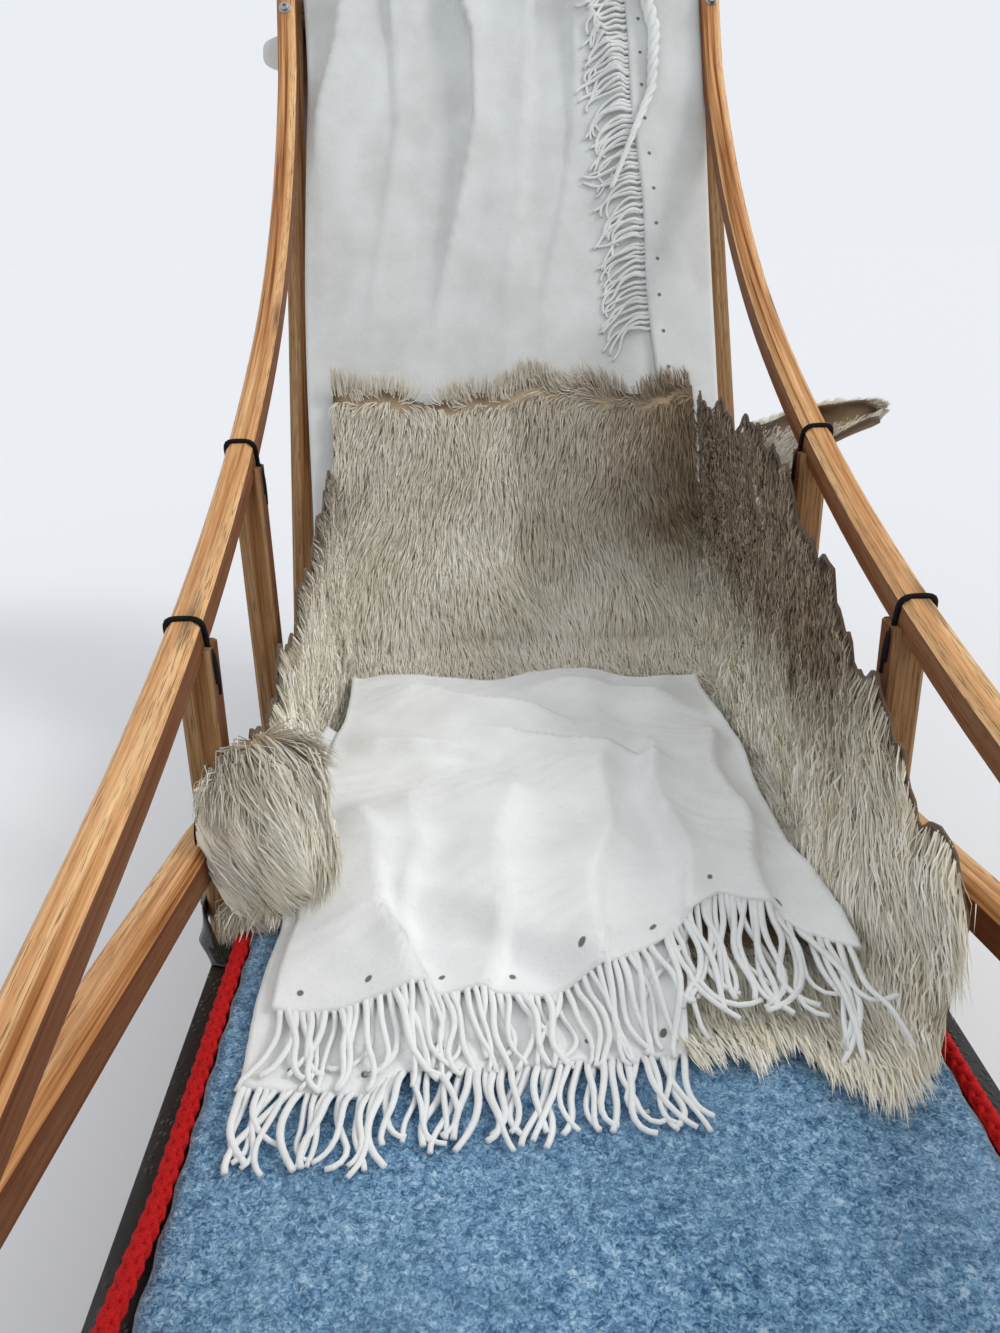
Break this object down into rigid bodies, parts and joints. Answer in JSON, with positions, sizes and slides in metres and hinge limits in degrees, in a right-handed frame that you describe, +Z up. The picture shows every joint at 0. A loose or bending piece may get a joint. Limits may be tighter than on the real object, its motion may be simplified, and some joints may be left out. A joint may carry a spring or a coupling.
{
  "type": "dog sled",
  "caption": "Wooden touring dog sled with a reclined backrest, a curved rail down each side, a hide and fringed blankets on the bed and a claw brake behind",
  "frame": {"origin": "on the floor, midway along the sled's length and on its centre line", "axes": "+X is the sled's left to right as seen from behind the bow, -Y is the way it travels, +Z is up"},
  "size_m": [0.674, 2.5217, 1.16],
  "materials": {
    "oiled_ash": "oiled",
    "black_plastic": "worn",
    "bed_plastic": "worn",
    "blue_felt": "felt",
    "black_canvas": "woven",
    "white_fleece": "fleece",
    "black_rubber": "ribbed",
    "painted_steel": "satin",
    "bare_steel": "worn",
    "brake_rubber": "matte",
    "bracket_steel": "zinc plated",
    "eye_steel": "zinc plated",
    "reindeer_fur": "fur",
    "fringed_fleece": "fleece",
    "red_rope": "braided"
  },
  "bodies": {
    "sled": {"back_blanket": "white_fleece", "back_cloth": "black_canvas", "backrest_braces": "oiled_ash", "backrest_lower_bar": "oiled_ash", "backrest_top_bar": "oiled_ash", "bed_sheet": "bed_plastic", "bed_slats": "oiled_ash", "brake_brackets": "bracket_steel", "brush_bow": "oiled_ash", "felt_mat": "blue_felt", "first_cross_piece": "oiled_ash", "first_stanchions": "oiled_ash", "footboard_pads": "black_rubber", "footboards": "oiled_ash", "front_cross_piece": "oiled_ash", "front_stanchions": "oiled_ash", "handle_bow": "oiled_ash", "left_runner": "oiled_ash", "left_side_rail": "oiled_ash", "nose_bar": "oiled_ash", "rear_cross_piece": "oiled_ash", "rear_stanchions": "oiled_ash", "reindeer_hide": "reindeer_fur", "right_runner": "oiled_ash", "right_side_rail": "oiled_ash", "runner_soles": "black_plastic", "seat_blanket": "fringed_fleece", "second_cross_piece": "oiled_ash", "second_stanchions": "oiled_ash", "side_ropes": "red_rope", "tow_eyes": "eye_steel"},
    "brake": {"brake_claws": "bare_steel", "brake_frame": "painted_steel", "brake_pad": "brake_rubber"}
  },
  "joints": [
    {"name": "brake_hinge", "type": "hinge", "parent": "sled", "child": "brake", "pos_m": [0, 0.32055, 0.164], "axis": [-1, 0, 0], "range_deg": [0, 6.5], "stiffness_Nm_per_rad": 8, "springref_deg": -59.99}
  ]
}
